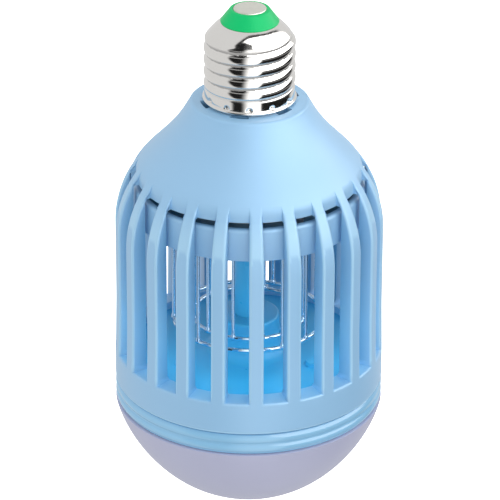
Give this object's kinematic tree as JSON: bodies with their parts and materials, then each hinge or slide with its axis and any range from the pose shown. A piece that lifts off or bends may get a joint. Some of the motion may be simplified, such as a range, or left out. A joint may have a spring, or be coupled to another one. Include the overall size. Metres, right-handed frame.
{
  "type": "electric bug zapper",
  "caption": "Bulb-shaped electric insect zapper with a screw cap on top, a ribbed grille body round two wire cages, and a frosted lamp dome below.",
  "frame": {"origin": "on the axis at the lower end of the screw cap's plain skirt", "axes": "+Z along the axis, up out of the cap's contact; -Y is the front"},
  "size_m": [0.0784, 0.0784, 0.1544],
  "materials": {
    "nickel_plate": "bright nickel plate",
    "green_insulator": "smooth gloss",
    "contact_metal": "satin",
    "blue_housing": "satin moulded",
    "blue_inner": "satin moulded",
    "blue_collar": "high gloss",
    "frosted_dome": "frosted",
    "grid_wire": "polished",
    "screw_steel": "zinc plated",
    "white_insulator": "matte",
    "white_board": "white solder mask",
    "green_board": "solder mask",
    "uv_lamp": "clear window",
    "white_lamp": "phosphor",
    "transformer_tape": "tape",
    "capacitor_sleeve": "sleeve",
    "film_red": "dipped",
    "black_epoxy": "moulded epoxy",
    "resistor_sleeve": "sleeve",
    "red_lead": "insulation",
    "black_lead": "insulation",
    "white_lead": "insulation",
    "heat_sink_metal": "satin"
  },
  "bodies": {
    "root": {"screw_shell": "nickel_plate", "cap_insulator": "green_insulator", "centre_contact": "contact_metal", "grille_housing": "blue_housing", "grid_carrier": "blue_housing", "carrier_screws": "screw_steel", "grid_insulator": "white_insulator", "outer_grid": "grid_wire", "inner_grid": "grid_wire", "wire_tube": "blue_inner", "chamber_floor": "blue_inner", "floor_screws": "screw_steel", "uv_board": "white_board", "uv_leds": "uv_lamp", "driver_board": "green_board", "board_screws": "screw_steel", "step_up_transformer": "transformer_tape", "smoothing_capacitors": "capacitor_sleeve", "film_capacitors": "film_red", "diodes": "black_epoxy", "bridge_rectifier": "black_epoxy", "driver_chip": "black_epoxy", "fuse_resistor": "resistor_sleeve", "neutral_lead": "white_lead", "outer_grid_lead": "red_lead", "inner_grid_lead": "black_lead", "lamp_lead_positive": "red_lead", "lamp_lead_negative": "white_lead", "heat_sink": "heat_sink_metal", "lamp_board": "white_board", "lamp_screws": "screw_steel", "white_leds": "white_lamp"},
    "collar": {"lamp_collar": "blue_collar"},
    "dome": {"diffuser_dome": "frosted_dome"}
  },
  "joints": [
    {"name": "collar_twist", "type": "hinge", "parent": "root", "child": "collar", "pos_m": [0, 0, -0.092], "axis": [0, 0, -1], "range_deg": [0, 34]},
    {"name": "dome_pull", "type": "slide", "parent": "collar", "child": "dome", "axis": [0, 0, -1], "range_m": [0, 0.03]}
  ]
}
